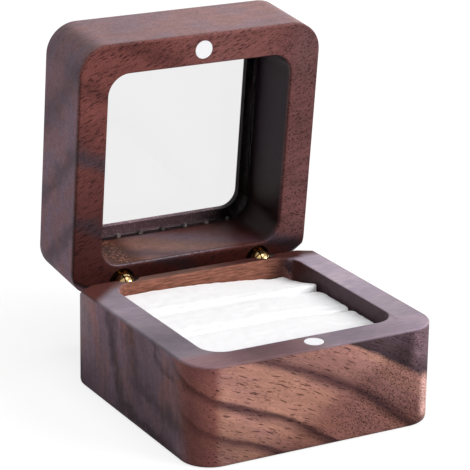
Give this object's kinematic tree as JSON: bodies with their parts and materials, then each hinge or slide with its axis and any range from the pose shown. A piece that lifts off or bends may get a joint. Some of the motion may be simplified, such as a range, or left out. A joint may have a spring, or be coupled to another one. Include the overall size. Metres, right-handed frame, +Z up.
{
  "type": "ring display box",
  "caption": "Square hardwood ring box with a hinged lid, a clear window, hidden magnets and a velvet cushion in rolls.",
  "frame": {"origin": "centre of the base's underside", "axes": "+X to the right, +Y to the hinges at the back, +Z up; at rest the lid stands open"},
  "size_m": [0.06, 0.0767, 0.0797],
  "materials": {
    "walnut": "dark hardwood, sanded and oiled to a satin sheen",
    "brass": "turned and polished",
    "nickel": "bright nickel plate",
    "pane": "clear, polished",
    "glue": "clear glue, set in dabs",
    "velvet": "white velvet over foam",
    "card": "grey board"
  },
  "bodies": {
    "base": {"base_body": "walnut", "base_magnet": "nickel", "hinge_base_barrel_left": "brass", "hinge_base_barrel_right": "brass", "cushion_card": "card", "cushion_roll_rear": "velvet", "cushion_roll_middle": "velvet", "cushion_roll_front": "velvet"},
    "lid": {"lid_frame": "walnut", "lid_magnet": "nickel", "window_pane": "pane", "pane_glue": "glue", "hinge_lid_barrel_left": "brass", "hinge_lid_barrel_right": "brass", "hinge_pin_left": "brass", "hinge_pin_right": "brass"}
  },
  "joints": [
    {"name": "lid_swing", "type": "hinge", "parent": "base", "child": "lid", "pos_m": [0, 0.0268, 0.0213], "axis": [-1, 0, 0], "range_deg": [-84.4, 5.6]}
  ]
}
